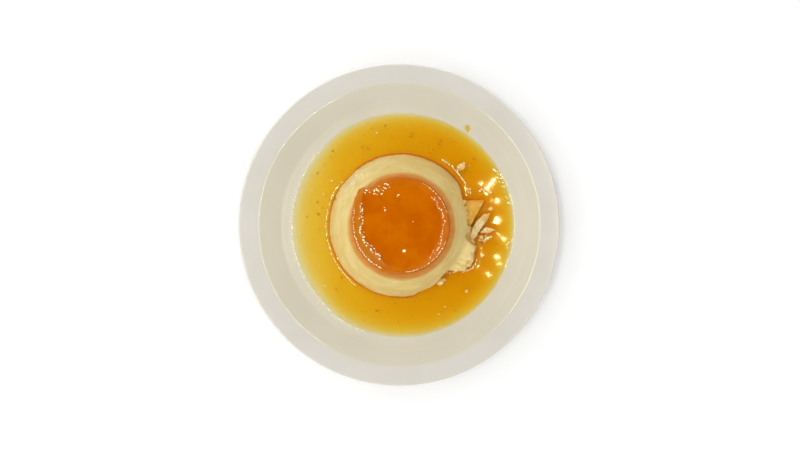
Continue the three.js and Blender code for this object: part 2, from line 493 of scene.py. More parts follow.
def syrupMaterial():
    material, tree, shader = newMaterial("goldenSyrup")
    place = addNode(tree, "ShaderNodeTexCoord").outputs["Object"]
    across = addNode(tree, "ShaderNodeSeparateXYZ", {0: place}).outputs["X"]
    deeper = ramp(tree, across, -0.055, 0.055)
    colour = mixColour(tree, deeper, sauceLook["left"], sauceLook["right"])
    plug(tree, shader, {"Base Color": colour, **sauceLook["shader"]})
    # light that has been scattered goes straight out
    surface = addNode(tree, "ShaderNodeMixShader", {
        0: addNode(tree, "ShaderNodeLightPath").outputs["Is Camera Ray"],
        1: addNode(tree, "ShaderNodeBsdfTransparent").outputs[0],
        2: shader.outputs[0],
    })
    soak = addNode(tree, "ShaderNodeVolumeAbsorption",
                   {"Color": sauceLook["tint"], "Density": sauceLook["thickness"]})
    plug(tree, tree.nodes["Material Output"], {"Surface": surface.outputs[0], "Volume": soak.outputs[0]})
    return material


# what lies in sauce: light, dark and stained colours, its mottling, and how much light soaks in
wetLooks = {
    "stainedSkin": ((0.77, 0.46, 0.04, 1), (0.71, 0.36, 0.015, 1), (0.68, 0.27, 0.005, 1), 350, 0.25),
    "tornCustard": ((0.80, 0.69, 0.37, 1), (0.74, 0.59, 0.26, 1), (0.74, 0.38, 0.04, 1), 350, 0.25),
    "custardCrumb": ((0.86, 0.63, 0.25, 1), (0.79, 0.54, 0.18, 1), (0.77, 0.42, 0.07, 1), 900, 0.25),
    "brownSpeck": ((0.62, 0.30, 0.02, 1), (0.50, 0.19, 0.01, 1), (0.5, 0.2, 0.01, 1), 900, 0.25),
    "paleBubble": ((0.93, 0.86, 0.70, 1), (0.87, 0.72, 0.5, 1), (0.9, 0.8, 0.6, 1), 900, 0.25),
    # bright near-white beads with no light soaking in, set where highlights show: painted highlights
    "highlightFroth": ((1.0, 1.0, 0.66, 1), (1.0, 0.98, 0.48, 1), (0.9, 0.8, 0.6, 1), 900, 0.0),
}
wetShader = {
    "Roughness": 0.35,
    "Subsurface Radius": (0.003, 0.002, 0.0008),
    "Subsurface Scale": 1.0,
    "Coat Weight": 0.2,
    "Coat Roughness": 0.12,
}


def wetMaterial(name):
    material, tree, shader = newMaterial(name)
    light, dark, stain, scale, soak = wetLooks[name]
    colour = mottled(tree, light, dark, (scale, 4))
    plug(tree, shader, {
        "Base Color": mixColour(tree, attribute(tree, "stain"), colour, stain),
        "Normal": bumps(tree, [(noiseAt(tree, 1300, 4, 0.6), 0.0003, 0.4)]),
        "Subsurface Weight": soak,
        **wetShader,
    })
    return material


glaze = porcelainMaterial()
custard = custardMaterial()
caramel = caramelMaterial()
syrup = syrupMaterial()
wet = {name: wetMaterial(name) for name in wetLooks}
print("materials made")

dish = {
    "around": 256, "radius": dishHigh.x, "rim": dishHigh.z, "rimBand": 10.2, "rimDrop": 1.2, "wall": 4.0,
    "floor": puddingLow.z, "shoulderHeight": 9.8, "wellRadius": 62.0, "wellFloor": 42.0, "wellCurve": 3.2,
    "wellRows": 44, "wellEase": 3.0,  # how far the shoulder's foot is rounded into the well
    "footOuter": 45.0, "footInner": 39.5, "footRecess": 3.6,
    "smears": [(8.5, -69.5, 9.0, 2.2), (20.0, -67.0, 6.0, 2.0)],
    "dried": (0.6, 3, 7),  # dulled by dried sauce: how much, and where beyond the edge it ends
}
sauce = {
    "level": 9.3,  # in the middle of the dish
    "slope": 0.008,  # it stands a little higher towards +X
    "thinLeft": (0.2, -30, -45),  # how much lower it is at the left, from one x to the next
    "around": 576,
    "rows": 128,
    "rowsBelow": 14,
    "under": 1.5,  # how far it reaches in under the pudding's outline
    "climb": 0.8,  # how far it climbs what stands in it
    "chunkClimb": 0.7,  # the share of that at the chunks
    "reach": 0.6,  # how fast the climb dies away
    "patchy": 0.45,  # how uneven the climb is
    "tail": (0.12, 2.4),  # a slower rise further out: its height and reach
    "waves": (7, 3.0, 1.3),  # sizes of its ripples, of the patches of its climb and of its dimples
    "ripple": 0.0014,
    "dimple": 0.02,  # small ripples at the edge on the left break up the bright line
    "film": (0.2, 0.05),  # how gently it thins out to the left and to the right
    "edge": 0.09,  # thickness of the rounded edge of the film
    "edgeRound": 0.5,
    "sunk": 0.15,  # how far it reaches into the dish, so that no gap shows
    "outerWall": 0.02,  # height of its hidden outer wall, which keeps top and bottom apart
    "seed": 41,
}


def wellHeight(radius):
    # height of the dish's inside at a radius within the well
    share = np.clip((radius - dish["wellFloor"]) / (dish["wellRadius"] - dish["wellFloor"]), 0, 1)
    return dish["floor"] + (dish["shoulderHeight"] - dish["floor"]) * share ** dish["wellCurve"]


def sauceLevel(x):
    less, start, end = sauce["thinLeft"]
    return sauce["level"] + sauce["slope"] * x - less * smooth(start, end, x)


def filmSpread(x):
    left, right = sauce["film"]
    return right + (left - right) * (1 - smooth(-35, 45, x))


def sauceRadius(angle):
    # how far from the dish's middle the sauce reaches, as a thin film
    near, far = np.full(np.shape(angle), dish["wellFloor"]), np.full(np.shape(angle), dish["wellRadius"])
    for _ in range(30):
        middle = (near + far) / 2
        x = middle * np.cos(angle)
        under = wellHeight(middle) < sauceLevel(x) + filmSpread(x)
        near, far = np.where(under, middle, near), np.where(under, far, middle)
    return near


def dishProfile():
    radius, rim, shoulder = dish["radius"], dish["rim"], dish["shoulderHeight"]
    band, well, wall, floor = radius - dish["rimBand"], dish["wellRadius"], dish["wall"], dish["floor"]
    bandInner = rim - dish["rimDrop"]
    line = roundedProfile([
        (0, dish["footRecess"], 0),
        (dish["footInner"] - 1.4, dish["footRecess"], 0.8),
        (dish["footInner"], 0, 0.5),
        (dish["footOuter"] - 0.6, 0, 0.5),
        (dish["footOuter"] + 0.7, dish["footRecess"], 1.2),
        (well - 8, floor - wall + 0.6, 3),
        (well, shoulder - wall, 4),
        (band, bandInner - wall, 4),
        (radius - 1.3, rim - wall + 0.8, 1.2),
        (radius, rim - 2.6, 0.9),
        (radius, rim, 1.1),
        (band, bandInner, 0.8),
        (well, shoulder, 0),
    ])[:-1]
    # the shoulder's foot runs into the well's curve without an edge
    ease = dish["wellEase"]
    radii = np.linspace(well - ease, dish["wellFloor"] - 2, dish["wellRows"])
    start = np.array((well + ease, shoulder + ease * (bandInner - shoulder) / (band - well)))
    end = np.array((radii[0], wellHeight(radii[0])))
    line += rounded(start, np.array((well, shoulder)), end, np.linspace(0, 1, 12)[:-1])
    line += [(r, float(wellHeight(r))) for r in radii]
    return line + [(30, floor), (0, floor)]


def buildDish():
    piece = turnedPiece("porcelainDish", dishProfile(), dish["around"], glaze)
    x, y, z = pointsOf(piece).T
    radius = np.hypot(x, y)
    inside = (z > dish["floor"] - 0.5) & (radius < dish["radius"] - dish["rimBand"] + 0.5)
    smear = np.maximum.reduce([hump(smearX, length, x) * hump(smearY, width, y)
                               for smearX, smearY, length, width in dish["smears"]])
    edge = sauceRadius(np.arctan2(y, x))
    dulled, start, end = dish["dried"]
    dried = dulled * (1 - smooth(edge + start, edge + end, radius))
    keepValues(
        piece,
        # well: inside the rim, which takes the painted warm light bounced from the sauce
        well=inside,
        # wet: the glaze under the sauce, toned as painted light to match the light seen through it
        wet=inside * (1 - smooth(edge - 5.0, edge, radius)),
        covered=inside * np.maximum(1 - smooth(edge - 0.2, edge + 0.2, radius), dried),
        smear=0.5 * smear * inside,
        foot=1 - smooth(0.2, 0.5, z),
    )
    finishPiece(piece, "porcelain", "dish")


buildDish()
print("dish turned")

pudding = {
    "around": 480,
    "base": (0.95, -0.25),  # middle of the foot
    "top": (1.2, -0.75),  # middle of the top
    "lineHeight": 9.3,  # where baseRadius is measured
    "baseRadius": 38.5,
    "neckRadius": 26.3,
    "shoulderRadius": 24.2,
    "shoulderRound": 3.2,
    "footRadius": 40.5,
    "brokenAtZero": -3.9,
    "brokenSteps": [  # from one angle to the next, the broken outline moves by this
        (20, 38, 3.5), (38, 46, 0.4), (127, 130, -0.7), (143, 150, 0.7),
        (277, 287, -2.4), (296, 312, -2.8), (347, 356, 1.3),
    ],
    "flankTop": (45, 49),  # relief fades out between these heights
    "wobble": 0.22,
    "lines": 0.18,  # depth of the level lines on the flank
    "lined": [(265, 32, 1.2), (95, 24, 0.8)],  # where they are deeper: angle, spread and how much
    "coarse": 0.6,  # depth of the coarse and fine roughness of broken custard
    "fine": 0.35,
    "scraped": (132, 26, 22, 10),  # angle, spread, height and spread of the patch without skin
    "notch": (158, 1.6, 12, 3),
    "notchDepth": 0.7,
    "redMark": (238, 4, 0.8),  # a dark mark at the foot: angle, spread and strength
    "stained": (42.6, 51.4),  # the caramel's stain deepens from one height to the other
    "seed": 4,
}
lump = {
    "from": 312, "to": 350.5, "peak": 334, "rising": 17, "falling": 7,
    "reach": 9.9, "lean": 0.6, "top": 21.0, "squareness": 2.2,
    "pits": [(339, 14.5, 1.2), (343, 12.5, 1.0), (331, 16.0, 1.1), (336, 11.8, 0.8), (345, 15.5, 0.9)],
    "pitDepth": 1.2,
    "ridges": 0.5,  # depth of the torn ridges, how many a full turn would hold, and their slant
    "ridgeCount": 78, "ridgeSlant": 0.9,
    "ridged": (324, 9),  # their middle and their spread
}
flankPits = {"count": 90, "size": (0.25, 0.6), "heights": (13, 45), "depth": 0.3, "seed": 11}


def flankRadius(height):
    top = puddingHigh.z - pudding["shoulderRound"]
    fall = (pudding["baseRadius"] - pudding["neckRadius"]) / (top - pudding["lineHeight"])
    return pudding["baseRadius"] - fall * (height - pudding["lineHeight"])


def brokenRadius(degrees):
    moved = sum(step * smooth(start, end, degrees) for start, end, step in pudding["brokenSteps"])
    return pudding["baseRadius"] + pudding["brokenAtZero"] + moved


def lumpShare(degrees):
    rise = smooth(lump["from"], lump["from"] + lump["rising"], degrees)
    fall = 1 - smooth(lump["to"] - lump["falling"], lump["to"], degrees)
    return rise * fall * (1 - lump["lean"] * np.abs(degrees - lump["peak"]) / (lump["to"] - lump["from"]))


def lumpRadius(degrees, height):
    level = np.clip((height - dish["floor"]) / (lump["top"] - dish["floor"]), 0, 1)
    bulge = np.sqrt(1 - level ** lump["squareness"])
    return brokenRadius(degrees) + lump["reach"] * lumpShare(degrees) * bulge


def outlineRadius(degrees, height):
    standing = np.minimum(flankRadius(height), brokenRadius(degrees))
    hanging = (degrees > lump["from"]) & (degrees < lump["to"]) & (height < lump["top"])
    return np.where(hanging, np.maximum(standing, lumpRadius(degrees, height)), standing)


def puddingMiddle(height):
    share = (height - dish["floor"]) / (puddingHigh.z - dish["floor"])
    return tuple(foot + share * (head - foot) for foot, head in zip(pudding["base"], pudding["top"]))


def puddingProfile():
    floor, top = dish["floor"], puddingHigh.z
    neck = top - pudding["shoulderRound"]
    heights = np.concatenate([np.arange(floor, 22, 0.3), np.arange(22, neck, 0.42), [neck]])
    line = [(0, floor), (20, floor)] + [(float(flankRadius(z)), float(z)) for z in heights]
    roundness = pudding["neckRadius"] - pudding["shoulderRadius"]
    for angle in np.linspace(0, turn / 4, 14)[1:]:
        radius = pudding["shoulderRadius"] + roundness * math.cos(angle)
        line.append((radius, neck + pudding["shoulderRound"] * math.sin(angle)))
    return line + [(20, top), (10, top), (0, top)]


def pitsAt(degrees, heights, radius, pits):
    # how deep each point of the flank lies in a pit, 0 to 1; a pit is its angle, height and size
    deep = np.zeros_like(heights)
    for angle, height, size in pits:
        along = np.radians(angleApart(degrees, angle)) * radius
        deep = np.maximum(deep, np.exp(-((along / 1.8) ** 2 + (heights - height) ** 2) / size ** 2))
    return deep


def flankPitList():
    chance = np.random.default_rng(flankPits["seed"])
    ranges = (0, 360), flankPits["heights"], flankPits["size"]
    return [[chance.uniform(*span) for span in ranges] for _ in range(flankPits["count"])]


def buildPudding():
    piece = turnedPiece("custardPudding", puddingProfile(), pudding["around"], custard)
    points = pointsOf(piece)
    x, y, heights = points.T
    radius, angle = np.hypot(x, y), np.arctan2(y, x)
    degrees = np.degrees(angle) % 360
    whole, outline = flankRadius(heights), outlineRadius(degrees, heights)

    onLump = smooth(0.3, 2.0, outline - np.minimum(whole, brokenRadius(degrees)))
    torn = np.maximum(smooth(0.2, 1.2, whole - outline), onLump)
    onFlank = smooth(dish["floor"], dish["floor"] + 1, heights) * (1 - smooth(*pudding["flankTop"], heights))
    ridged = humpRound(degrees, *lump["ridged"]) * onLump

    def flankMark(middle, spread, height, tall):
        return humpRound(degrees, middle, spread) * hump(height, tall, heights)

    seed = pudding["seed"]
    broad = cloud(points, 14, seed, 2)
    middling = cloud(points, 3.2, seed + 1)
    fine = cloud(points, 1.1, seed + 2)
    lines = cloud(points * np.array((1, 1, 5.5)), 5.5, seed + 3)

    rough = pudding["coarse"] * middling + pudding["fine"] * fine
    lined = 0.5 + sum(more * humpRound(degrees, middle, spread) for middle, spread, more in pudding["lined"])
    scraped = flankMark(*pudding["scraped"])
    wander = 2.2 * broad + 1.8 * middling
    ridge = np.sin(np.radians(degrees) * lump["ridgeCount"] + lump["ridgeSlant"] * heights + wander)
    smallPits = pitsAt(degrees, heights, radius, flankPitList()) * onFlank
    deepPits = pitsAt(degrees, heights, outline, lump["pits"]) * onLump
    move = pudding["wobble"] * broad * onFlank
    move += pudding["lines"] * lines * onFlank * lined * (1 - torn)
    move += rough * torn * onFlank + (rough + 0.35 * lines) * scraped
    move += lump["ridges"] * ridge * ridged + (0.6 * middling + 0.4 * fine) * onLump
    move -= pudding["notchDepth"] * flankMark(*pudding["notch"])
    move -= flankPits["depth"] * smallPits + lump["pitDepth"] * deepPits

    foot = heights < dish["floor"] + 0.3
    outline = np.where(foot, np.minimum(outline, pudding["footRadius"]), outline)
    x, y = atAngle(puddingMiddle(heights), radius * (outline + move) / whole, angle)
    movePoints(piece, np.stack([x, y, heights], axis=1))

    aboveSauce = heights - sauceLevel(x)
    topEdge = smooth(*pudding["stained"], heights + 0.7 * middling + 0.4 * broad)
    wetLine = 1 - smooth(0.9, 2.2, aboveSauce + 0.5 * middling)
    middle, spread, strength = pudding["redMark"]
    redMark = strength * humpRound(degrees, middle, spread) * (1 - smooth(1.0, 3.5, aboveSauce))
    # painted shade: darker in the grooves between the lump's ridges
    creviceShade = smooth(0.1, 0.7, -ridge) * ridged
    marks = {
        "stain": np.maximum.reduce([topEdge, 0.9 * wetLine, redMark]),
        "scraped": scraped * (0.35 + 0.8 * middling),
        "torn": torn * 0.9 * (1 - topEdge),
        # pitShade: painted shade in the pits and grooves
        "pitShade": np.maximum.reduce([0.8 * deepPits, 0.6 * smallPits, 0.35 * creviceShade]),
    }
    keepValues(piece, **{name: np.clip(value, 0, 1) for name, value in marks.items()})
    finishPiece(piece, "custard", "pudding")


buildPudding()
print("pudding shaped")

glazeTop = {
    "around": 480,
    "rows": 150,
    "middle": (1.0, -0.3),
    "outline": [  # (angle, radius), with the rounded end of the roll at 132 to 150
        (0, 23.7), (60, 23.6), (100, 23.5), (120, 23.3), (131, 22.8), (135, 26.4), (140, 27.2),
        (147, 26.4), (165, 24.6), (185, 23.8), (270, 23.6),
    ],
    "lip": [  # (angle, width): wide on the -X side
        (0, 2.9), (60, 2.8), (100, 3.0), (122, 3.2), (131, 2.2), (137, 3.0), (147, 3.8), (160, 4.5),
        (193, 4.4), (217, 5.3), (232, 5.2), (250, 3.4), (275, 2.9),
    ],
    "hollow": 1.35,  # thickness in the middle
    "lipRise": 0.5,
    "bead": (0.16, 0.6),  # height and width of the bead along the edge
    "crest": (0.1, 0.7),  # and of the lip's inner side
    "edgeRound": 1.1,
    "bed": 0.35,  # how far it is sunk into the custard
    "seed": 21,
}
blisters = {
    # along the lip's inner side: angles, number, radii, heights and how far they stray
    "chains": [
        (148, 238, 26, (0.9, 1.5), (0.06, 0.12), 0.7),
        (-52, 42, 22, (0.8, 1.3), (0.05, 0.1), 0.6),
        (108, 140, 14, (0.9, 1.5), (0.08, 0.14), 2.0),
    ],
    # x, y, radius and height
    "singles": [
        (-0.35, 14.4, 1.4, 0.14), (-6.8, 7.0, 1.2, 0.12), (-6.2, 8.6, 0.9, 0.1), (6.7, 1.5, 0.8, 0.07),
        (12.2, 7.1, 1.0, 0.06), (14.5, 7.3, 0.9, 0.06),
    ],
    "seed": 27,
}


def glazeSpot(degrees, inward):
    # the place at an angle and so far in from the caramel's edge
    radius = around(degrees, glazeTop["outline"]) - inward
    return atAngle(glazeTop["middle"], radius, math.radians(degrees))


def alongRows(rows, chance, jitter):
    # the angles along each row, a little uneven, with what else the row says
    for start, end, count, *rest in rows:
        for degrees in np.linspace(start, end, count):
            yield degrees + chance.uniform(-jitter, jitter), *rest


def blisterList():
    chance = np.random.default_rng(blisters["seed"])
    spots = list(blisters["singles"])
    for degrees, sizes, rises, stray in alongRows(blisters["chains"], chance, 1.5):
        inward = around(degrees, glazeTop["lip"]) + 0.3 + chance.uniform(-1, 1) * stray
        spots.append((*glazeSpot(degrees, inward), chance.uniform(*sizes), chance.uniform(*rises)))
    return spots


def shoulderSurface(radius):
    # height of the custard's top at a radius from its middle, over its rounded edge
    over = (radius - pudding["shoulderRadius"]) / (pudding["neckRadius"] - pudding["shoulderRadius"])
    return puddingHigh.z - pudding["shoulderRound"] * (1 - np.sqrt(1 - np.clip(over, 0, 0.98) ** 2))


def quarterRound(inside, size):
    # 0 at an edge, and 1 where it has been rounded over its size
    return np.sqrt(np.clip(1 - (1 - np.clip(inside / size, 0, 1)) ** 2, 0, 1))


def glazeHeight(x, y, inside, lip):
    # thickness of the caramel, and its share of that near the edge
    broad, uneven = flatCloud(x, y, 9, glazeTop["seed"] + 1), flatCloud(x, y, 2.0, glazeTop["seed"] + 2)
    rounding = quarterRound(inside, glazeTop["edgeRound"])
    beadRise, beadWide = glazeTop["bead"]
    crestRise, crestWide = glazeTop["crest"]
    bead = beadRise * hump(glazeTop["edgeRound"], beadWide, inside) * (1 + 0.7 * uneven)
    crest = crestRise * hump(lip - 0.3, crestWide, inside) * (1 + uneven)
    step = glazeTop["lipRise"] * (1 - smooth(lip - 0.4, lip + 1.6, inside))
    thickness = (glazeTop["hollow"] + step) * rounding + bead + crest + 0.03 * broad + 0.006 * uneven
    return thickness + domes(x, y, blisterList()) * rounding, rounding


def buildCaramel():
    # each row of the turned blank is numbered by its radius, and laid out again below
    rows = glazeTop["rows"]
    line = [(0, 1), (1, 1), (2, 1)] + [(3 + i, 0) for i in range(rows)] + [(0, 0)]
    piece = turnedPiece("caramelGlaze", line, glazeTop["around"], caramel)
    x, y, below = pointsOf(piece).T
    number, angle, below = np.hypot(x, y), np.arctan2(y, x), below > 0.5
    degrees = np.degrees(angle) % 360
    edgeNoise = flatCloud(np.cos(angle) * 24, np.sin(angle) * 24, 4, glazeTop["seed"], 3)
    outer = around(degrees, glazeTop["outline"]) + 0.2 * edgeNoise
    lip = around(degrees, glazeTop["lip"]) * (1 + 0.12 * edgeNoise)

    inward = np.where(number < 0.5, 1.0, np.clip((number - 3) / (rows - 1), 0, 1))
    radius = outer * np.where(below, np.clip(number / 2, 0, 1), 1 - inward ** 1.6)
    inside = outer - radius
    x, y = atAngle(glazeTop["middle"], radius, angle)
    thickness, rounding = glazeHeight(x, y, inside, lip)
    ground = shoulderSurface(np.hypot(x - pudding["top"][0], y - pudding["top"][1]))
    z = ground - glazeTop["bed"] * np.where(below, 1, 1 - rounding) + np.where(below, 0, thickness)
    movePoints(piece, np.stack([x, y, z], axis=1))
    left = humpRound(degrees, 185, 60)
    keepValues(
        piece,
        lip=smooth(lip + 1.0, lip - 0.5, inside) * (0.25 + 0.75 * left),
        edge=0.7 * (1 - smooth(0.2, 1.1, inside)),
        beaded=np.maximum(1 - smooth(1.2, 2.0, inside), hump(lip, 0.8, inside)),
    )
    return finishPiece(piece, "caramel", "caramel_top")


pouredGlaze = buildCaramel()
print("caramel poured")

chunkMake = {"voxel": 0.2, "softening": 16, "coarse": 2.4, "fine": 0.8}
chunks = [
    {
        "name": "skinChunk", "node": "broken_skin", "slot": "stained_custard", "material": "stainedSkin",
        "outline": [(34.9, 13.2), (46.2, 13.7), (42.6, 7.6), (39.5, 1.8), (37.7, -0.9), (36, 2.5),
                    (35.5, 8.2)],
        "low": 8.0, "high": 12.4, "dip": 0.11, "rough": 0.35, "seed": 31,
        "stained": [(36, 13.6, 2.6), (40, 13.8, 2.2), (44.5, 13.4, 2.4), (43.4, 9.0, 1.2), (40.6, 4.2, 1.2)],
    },
    {
        "name": "stripChunk", "node": "broken_strip", "slot": "torn_custard", "material": "tornCustard",
        "outline": [(37.6, -6.4), (39.3, -7.9), (41.6, -5.2), (44.6, -0.6), (48, 4), (48.5, 6.3),
                    (45.4, 6), (40.6, 1.2)],
        "low": 8.0, "high": 12.7, "dip": 0.2, "rough": 0.6, "seed": 32,
        "stained": [(47.8, 5.4, 2.6), (45.8, 3.4, 1.6), (38.0, -6.9, 1.1)],
    },
    {
        "name": "flakeChunk", "node": "broken_flake", "slot": "torn_custard", "material": "tornCustard",
        "outline": [(43.1, -4), (46.8, -4.6), (51.4, -2.6), (46.4, -1)],
        "low": 8.2, "high": 11.9, "dip": 0.02, "rough": 0.4, "seed": 33,
        "stained": [(44.6, -4.6, 1.2), (46.6, -4.6, 1.6), (48.8, -4.0, 1.5), (51.0, -2.8, 0.9)],
    },
]


def outlineDistance(x, y, outline):
    # distance from each point to a closed outline, negative inside it
    nearest = np.full(np.shape(x), 1e9)
    inside = np.zeros(np.shape(x), bool)
    for (ax, ay), (bx, by) in zip(outline, outline[1:] + outline[:1]):
        dx, dy = bx - ax, by - ay
        along = np.clip(((x - ax) * dx + (y - ay) * dy) / (dx * dx + dy * dy), 0, 1)
        nearest = np.minimum(nearest, np.hypot(x - ax - along * dx, y - ay - along * dy))
        inside = inside ^ (((ay > y) != (by > y)) & (x < dx * (y - ay) / (dy + 1e-12) + ax))
    return np.where(inside, -nearest, nearest)


def buildChunk(chunk):
    # a block over the outline, made fine, softened and roughened
    count, seed = len(chunk["outline"]), chunk["seed"]
    lower = [(x, y, chunk["low"]) for x, y in chunk["outline"]]
    upper = [(x, y, chunk["high"] - chunk["dip"] * max(y, 0)) for x, y in chunk["outline"]]
    faces = [tuple(reversed(range(count))), tuple(range(count, 2 * count))]
    faces += [(i, (i + 1) % count, count + (i + 1) % count, count + i) for i in range(count)]
    piece = newPiece(chunk["name"], lower + upper, faces)
    remesh = piece.modifiers.new("fine", "REMESH")
    remesh.mode = "VOXEL"
    remesh.voxel_size = chunkMake["voxel"] * mm
    piece.modifiers.new("soft", "SMOOTH").iterations = chunkMake["softening"]
    plainMesh(piece)
    piece.data.materials.clear()
    piece.data.materials.append(wet[chunk["material"]])
    points = pointsOf(piece)
    rough = cloud(points, chunkMake["coarse"], seed) + 0.4 * cloud(points, chunkMake["fine"], seed + 5, 2)
    points += vectorsOf(piece, "normal") * (chunk["rough"] * rough)[:, None]
    points[:, 2] = np.maximum(points[:, 2], chunk["low"])
    movePoints(piece, points)
    x, y, z = points.T
    stain = 1 - smooth(-0.2, 1.2, z - sauceLevel(x) + 0.5 * rough)
    for spotX, spotY, size in chunk["stained"]:
        stain = np.maximum(stain, hump(0, size, np.hypot(x - spotX, y - spotY) + 0.8 * rough))
    keepValues(piece, stain=stain)
    finishPiece(piece, chunk["slot"], chunk["node"])


for chunk in chunks:
    buildChunk(chunk)
print("chunks laid")


def sauceGrid(steps):
    # the sauce's inner and outer radius at each angle, from the middle of the pudding's foot
    angle = np.arange(steps) * turn / steps
    inner = outlineRadius(np.degrees(angle) % 360, np.full(steps, sauce["level"] + 0.2))
    far = np.full(steps, 50.0)
    for _ in range(40):  # walk out to where the sauce meets the dish
        x, y = atAngle(pudding["base"], far, angle)
        far += sauceRadius(np.arctan2(y, x)) - np.hypot(x, y)
    return angle, inner, far


def sauceTop(x, y, away):
    # away is the distance from the pudding
    climb = sauce["climb"] * np.exp(-away / sauce["reach"])
    for chunk in chunks:
        off = np.maximum(outlineDistance(x, y, chunk["outline"]), 0)
        climb = np.maximum(climb, sauce["chunkClimb"] * sauce["climb"] * np.exp(-off / sauce["reach"]))
    tailRise, tailReach = sauce["tail"]
    ripple, patchy, dimples = [flatCloud(x, y, size, sauce["seed"] + i)
                               for i, size in enumerate(sauce["waves"])]
    atEdge = smooth(50, 55, np.hypot(x, y)) * smooth(-15, -35, x)
    ripples = sauce["ripple"] * ripple + sauce["dimple"] * dimples * atEdge
    climb = climb * (1 + sauce["patchy"] * patchy)
    return sauceLevel(x) + climb + tailRise * np.exp(-away / tailReach) + ripples


def buildSauce():
    steps = sauce["around"]
    angle, inner, far = sauceGrid(steps)
    start = inner - sauce["under"]

    def laidOut(share):
        radius = start + share[:, None] * (far - start)
        x, y = atAngle(pudding["base"], radius, angle)
        return radius, x, y, wellHeight(np.hypot(x, y))

    share = np.linspace(0, 1, sauce["rows"])
    radius, x, y, ground = laidOut(share - 0.10 * np.sin(turn * share))  # closer rows at both edges
    # it thins out gently where it meets the dish, and ends in a small rounded edge
    spread = filmSpread(x)
    depth = sauceTop(x, y, np.maximum(radius - inner, 0)) - ground
    film = np.maximum(spread * np.logaddexp(0, depth / spread), sauce["edge"])
    rounding = quarterRound(far - radius, sauce["edgeRound"])
    top = ground - sauce["sunk"] * (1 - rounding) + film * rounding

    _, belowX, belowY, bottom = laidOut(np.linspace(1, 0, sauce["rowsBelow"]))
    bottom -= sauce["sunk"]
    bottom[0] -= sauce["outerWall"]
    points = np.concatenate([np.stack([x, y, top], axis=2), np.stack([belowX, belowY, bottom], axis=2)])
    here = np.arange(len(points) * steps).reshape(-1, steps)
    up = np.roll(here, -1, axis=0)
    faces = np.stack([here, up, np.roll(up, -1, axis=1), np.roll(here, -1, axis=1)], axis=2).reshape(-1, 4)
    piece = newPiece("caramelSauce", points.reshape(-1, 3), faces.tolist(), material=syrup)
    finishPiece(piece, "sauce", "caramel_sauce")


buildSauce()
print("sauce poured")

grains = {
    # x, y and size of each; crumbs stand out of the sauce
    "crumbs": [
        (33.1, 31.3, 3.6), (34.6, 33.0, 1.8), (31.6, 30.0, 1.6), (22.3, -30.6, 3.4), (24.1, -29.4, 2.0),
        (49.2, 8.7, 2.2), (36.2, -35.6, 1.6), (44.0, -6.4, 2.2), (46.5, -7.6, 1.9), (48.9, -6.3, 1.6),
        (43.2, -8.2, 1.6),
    ],
    # x, y, z and size of those that cling to the broken flank above the skin
    "clinging": [
        (34.4, 12.0, 11.7, 2.6), (35.2, 9.0, 12.0, 2.0), (35.6, 6.4, 12.2, 1.9), (35.9, 3.7, 12.1, 1.9),
        (36.0, 1.0, 11.6, 1.7), (36.7, -1.0, 11.4, 2.2), (36.9, -3.1, 11.2, 2.3), (36.4, -5.2, 11.2, 2.3),
        (37.4, -6.6, 10.8, 1.7), (38.4, -8.5, 10.6, 2.2), (39.8, -9.4, 10.2, 1.7), (37.2, -4.0, 10.2, 3.8),
        (38.0, -7.4, 10.0, 3.4), (37.6, -1.6, 10.0, 3.0), (35.9, -7.0, 10.4, 2.4),
    ],
    # the share of its size that each one's middle stands above the sauce
    "crumbRise": 0.05, "speckRise": -0.25, "bubbleRise": 0.0,
    "specks": {"count": 60, "size": (0.35, 1.0), "seed": 61},
    "speckSpots": [
        (-44.1, 12.4, 1.2), (-43.6, 5.9, 1.1), (-20.0, 41.8, 1.0), (-16.8, 41.3, 0.9), (6.8, 49.4, 1.0),
    ],
    "bubbles": {"count": 14, "size": (0.35, 0.9), "seed": 62},
    "ring": (41, 55),  # specks and bubbles lie between these radii
    "clear": 1.5,  # and stay so far from the pudding and the chunks
    "crumbLook": {
        "Flatness": 0.75, "Longest": 1.4, "Lumpiness": 0.001, "Lump Scale": 700.0, "Detail": 4, "Seed": 7,
    },
}


def strewnPiece(name, slot, spots, look, material, stained=0):
    # spots are (x, y, z, size, facing) in millimetres and radians, and facing any way if it isn't given
    look = {**strewLook, **look}
    chance = np.random.default_rng(look["Seed"])
    places = np.array([spot if len(spot) > 4 else (*spot, chance.uniform(0, turn)) for spot in spots])
    piece = newPiece(name, places[:, :3], [])
    keepValues(piece, size=places[:, 3] * mm, facing=places[:, 4])
    runTree(piece, strewTree, {**look, "Material": wet[material]})
    x, y, z = pointsOf(piece).T
    keepValues(piece, stain=stained * (1 - smooth(-0.4, 0.5, z - sauceLevel(x))))
    finishPiece(piece, slot)


def inSauce(spots, rise):
    # rise is the share of its size that each one's middle stands above the sauce
    return [(x, y, sauceLevel(x) + rise * size, size) for x, y, size in spots]


def strewInSauce(look, spots):
    # scattered at random over the sauce, with the named spots first
    chance = np.random.default_rng(look["seed"])
    places = list(spots)
    near, far = grains["ring"]
    smallest, largest = look["size"]
    while len(places) < look["count"] + len(spots):
        angle, radius = chance.uniform(0, turn), math.sqrt(chance.uniform(near ** 2, far ** 2))
        size = smallest + (largest - smallest) * chance.random() ** 2
        x, y = atAngle((0, 0), radius, angle)
        gap = min(outlineDistance(x, y, chunk["outline"]) for chunk in chunks)
        offX, offY = x - pudding["base"][0], y - pudding["base"][1]
        edge = outlineRadius(np.degrees(np.arctan2(offY, offX)) % 360, 9.5)
        if min(gap, math.hypot(offX, offY) - edge) > grains["clear"]:
            places.append((x, y, size))
    return places


